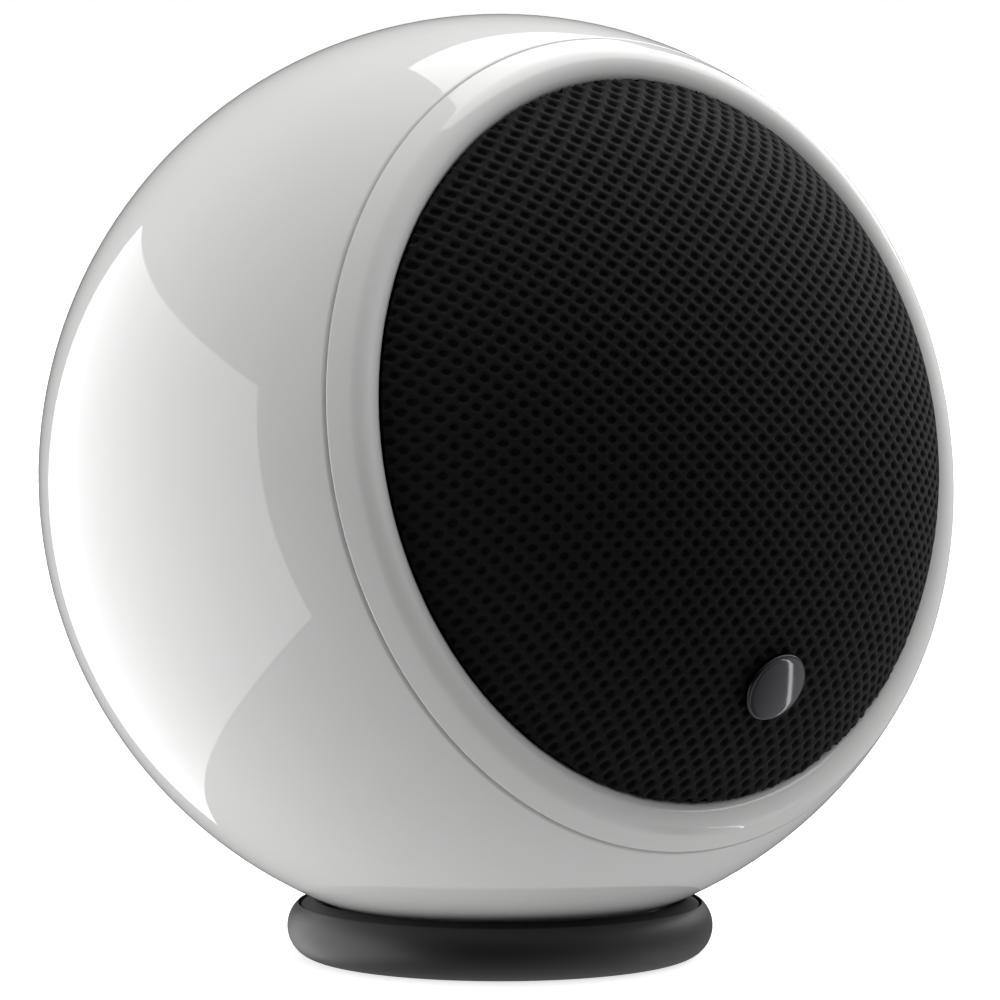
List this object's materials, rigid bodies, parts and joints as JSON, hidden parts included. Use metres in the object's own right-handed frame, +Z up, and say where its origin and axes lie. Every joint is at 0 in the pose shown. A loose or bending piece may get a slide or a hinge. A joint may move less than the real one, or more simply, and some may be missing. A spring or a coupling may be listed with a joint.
{
  "type": "spherical loudspeaker",
  "caption": "Ball-shaped satellite loudspeaker with a domed cloth grille, aimed by hand on a rubber ring stand, with push terminals and a threaded insert at the back.",
  "frame": {"origin": "on the floor at the axis of the ring stand, under the ball's centre", "axes": "+Z up, the face looks towards -Y and 11 degrees up, +X to the right of someone who faces the speaker"},
  "size_m": [0.1016, 0.0973, 0.104],
  "materials": {
    "white_lacquer": "gloss clear-coated white lacquer",
    "ring_rubber": "matte moulded charcoal rubber",
    "soft_rubber": "soft black rubber or foam",
    "grille_knit": "black knitted mesh with small round openings",
    "black_plastic": "fine moulded texture",
    "black_chrome": "polished black chrome",
    "painted_steel": "satin black paint over pressed steel",
    "zinc_steel": "bright zinc plating",
    "ferrite": "ground dark grey ceramic magnet",
    "nickel": "turned and nickel plated",
    "brass": "turned or stamped brass",
    "copper": "enamelled or braided copper",
    "cone_paper": "pressed fibre paper, dark grey",
    "amber_weave": "resin-treated woven cloth",
    "phenolic": "brown resin board",
    "white_wool": "loose polyester wadding",
    "red_plastic": "moulded red plastic",
    "black_insulation": "black cable insulation or plastic"
  },
  "bodies": {
    "stand": {"base_ring": "ring_rubber"},
    "seat": {"seat_insert": "soft_rubber"},
    "ball": {"rear_shell": "white_lacquer", "front_bezel": "white_lacquer", "seam_o_ring": "soft_rubber", "damping_fill": "white_wool", "driver_frame": "painted_steel", "driver_gasket": "soft_rubber", "top_plate": "zinc_steel", "ring_magnet": "ferrite", "back_plate": "zinc_steel", "tag_strip": "phenolic", "terminal_cup": "black_plastic", "cup_gasket": "soft_rubber", "mount_insert": "brass", "mount_nut": "zinc_steel", "driver_screw_1": "zinc_steel", "driver_screw_2": "zinc_steel", "driver_screw_3": "zinc_steel", "driver_screw_4": "zinc_steel", "cup_screw_1": "zinc_steel", "cup_screw_2": "zinc_steel", "cup_screw_3": "zinc_steel", "terminal_red_barrel": "nickel", "terminal_red_collar": "red_plastic", "terminal_red_spring": "zinc_steel", "terminal_red_nut": "zinc_steel", "terminal_red_tag": "brass", "driver_tag_red": "brass", "tinsel_lead_red": "copper", "hook_up_wire_red": "red_plastic", "terminal_black_barrel": "nickel", "terminal_black_collar": "black_insulation", "terminal_black_spring": "zinc_steel", "terminal_black_nut": "zinc_steel", "terminal_black_tag": "brass", "driver_tag_black": "brass", "tinsel_lead_black": "copper", "hook_up_wire_black": "black_insulation"},
    "grille": {"grille_frame": "black_plastic", "grille_cloth": "grille_knit", "badge": "black_chrome", "badge_clip": "zinc_steel", "grille_magnet_1": "nickel", "grille_magnet_2": "nickel", "grille_magnet_3": "nickel", "grille_magnet_4": "nickel"},
    "cone": {"cone": "cone_paper", "dust_cap": "cone_paper", "surround": "soft_rubber", "spider": "amber_weave", "voice_coil_former": "amber_weave", "voice_coil": "copper"},
    "red_plunger": {"terminal_red_plunger": "nickel"},
    "black_plunger": {"terminal_black_plunger": "nickel"}
  },
  "joints": [
    {"name": "ball_pan", "type": "hinge", "parent": "stand", "child": "seat", "pos_m": [0, 0, 0.05317], "axis": [0, 0, 1], "continuous": true},
    {"name": "ball_tilt", "type": "hinge", "parent": "seat", "child": "ball", "pos_m": [0, 0, 0.05317], "axis": [-1, 0, 0], "range_deg": [-18, 28]},
    {"name": "grille_pull", "type": "slide", "parent": "ball", "child": "grille", "axis": [0, -0.9816, 0.1908], "range_m": [0, 0.018]},
    {"name": "cone_travel", "type": "slide", "parent": "ball", "child": "cone", "axis": [0, -0.9816, 0.1908], "range_m": [-0.0025, 0.0025], "stiffness_N_per_m": 900, "deforming": ["surround", "spider", "tinsel_lead_red", "tinsel_lead_black"]},
    {"name": "terminal_red_push", "type": "slide", "parent": "ball", "child": "red_plunger", "axis": [0, -0.9816, 0.1908], "range_m": [0, 0.0016], "stiffness_N_per_m": 500, "springref_m": -0.002, "deforming": ["terminal_red_spring"]},
    {"name": "terminal_black_push", "type": "slide", "parent": "ball", "child": "black_plunger", "axis": [0, -0.9816, 0.1908], "range_m": [0, 0.0016], "stiffness_N_per_m": 500, "springref_m": -0.002, "deforming": ["terminal_black_spring"]}
  ]
}
